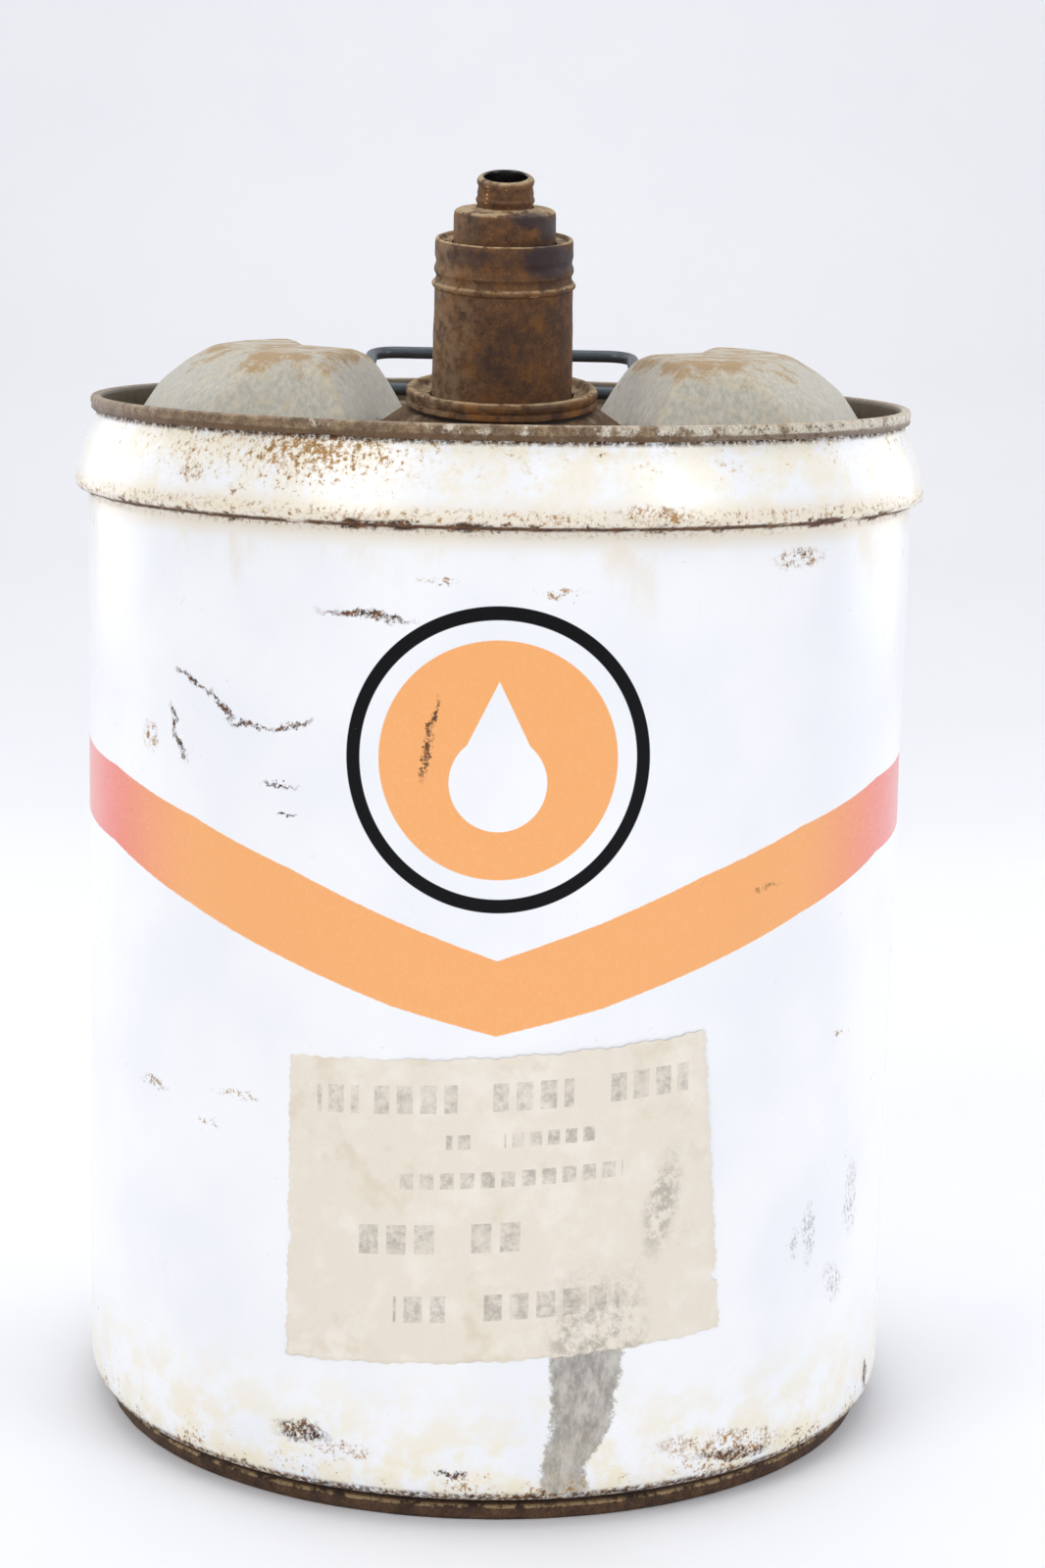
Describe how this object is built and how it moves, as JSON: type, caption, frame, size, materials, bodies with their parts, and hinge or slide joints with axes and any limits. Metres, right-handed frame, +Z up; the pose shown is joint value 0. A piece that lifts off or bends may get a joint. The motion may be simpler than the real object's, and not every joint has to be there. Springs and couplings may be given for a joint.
{
  "type": "motor oil can",
  "caption": "Round tight-head steel oil can with rolled seams, two raised humps on the head, a leaning telescoping pour spout and a wire loop handle.",
  "frame": {"origin": "centre of the circle that the bottom chime stands on", "axes": "+Z up, -Y towards the front, where the spout leans and the label faces"},
  "size_m": [0.2914, 0.2914, 0.4279],
  "materials": {
    "white_enamel": "glossy baked enamel with rust specks along the seams",
    "grey_enamel": "satin enamel with rust bleeding through",
    "rusted_steel": "brown surface rust",
    "seam_compound": "dull",
    "label_paper": "matt aged paper",
    "seal_rubber": "dull",
    "spring_steel": "satin",
    "handle_wire": "dark oiled wire"
  },
  "bodies": {
    "can": {"body_shell": "white_enamel", "top_head": "grey_enamel", "bottom_head": "rusted_steel", "top_seam_compound": "seam_compound", "bottom_seam_compound": "seam_compound", "paper_label": "label_paper", "spout_gasket": "seal_rubber", "spout_collar": "rusted_steel", "collar_seal": "seal_rubber", "collar_retainer": "spring_steel", "saddle_clips": "grey_enamel"},
    "outer_stage": {"outer_tube": "rusted_steel", "mid_seal": "seal_rubber", "mid_seal_washer": "spring_steel"},
    "mid_stage": {"mid_tube": "rusted_steel", "nozzle_seal": "seal_rubber", "nozzle_seal_washer": "spring_steel"},
    "nozzle_stage": {"nozzle_tube": "rusted_steel"},
    "handle": {"handle_loop": "handle_wire"}
  },
  "joints": [
    {"name": "outer_slide", "type": "slide", "parent": "can", "child": "outer_stage", "axis": [0, -0.1392, 0.9903], "range_m": [-0.0343, 0]},
    {"name": "mid_slide", "type": "slide", "parent": "outer_stage", "child": "mid_stage", "axis": [0, -0.1392, 0.9903], "range_m": [0, 0.03]},
    {"name": "nozzle_slide", "type": "slide", "parent": "mid_stage", "child": "nozzle_stage", "axis": [0, -0.1392, 0.9903], "range_m": [0, 0.03]},
    {"name": "handle_hinge", "type": "hinge", "parent": "can", "child": "handle", "pos_m": [0, 0.014, 0.3532], "axis": [1, 0, 0], "range_deg": [-13, 136]}
  ]
}
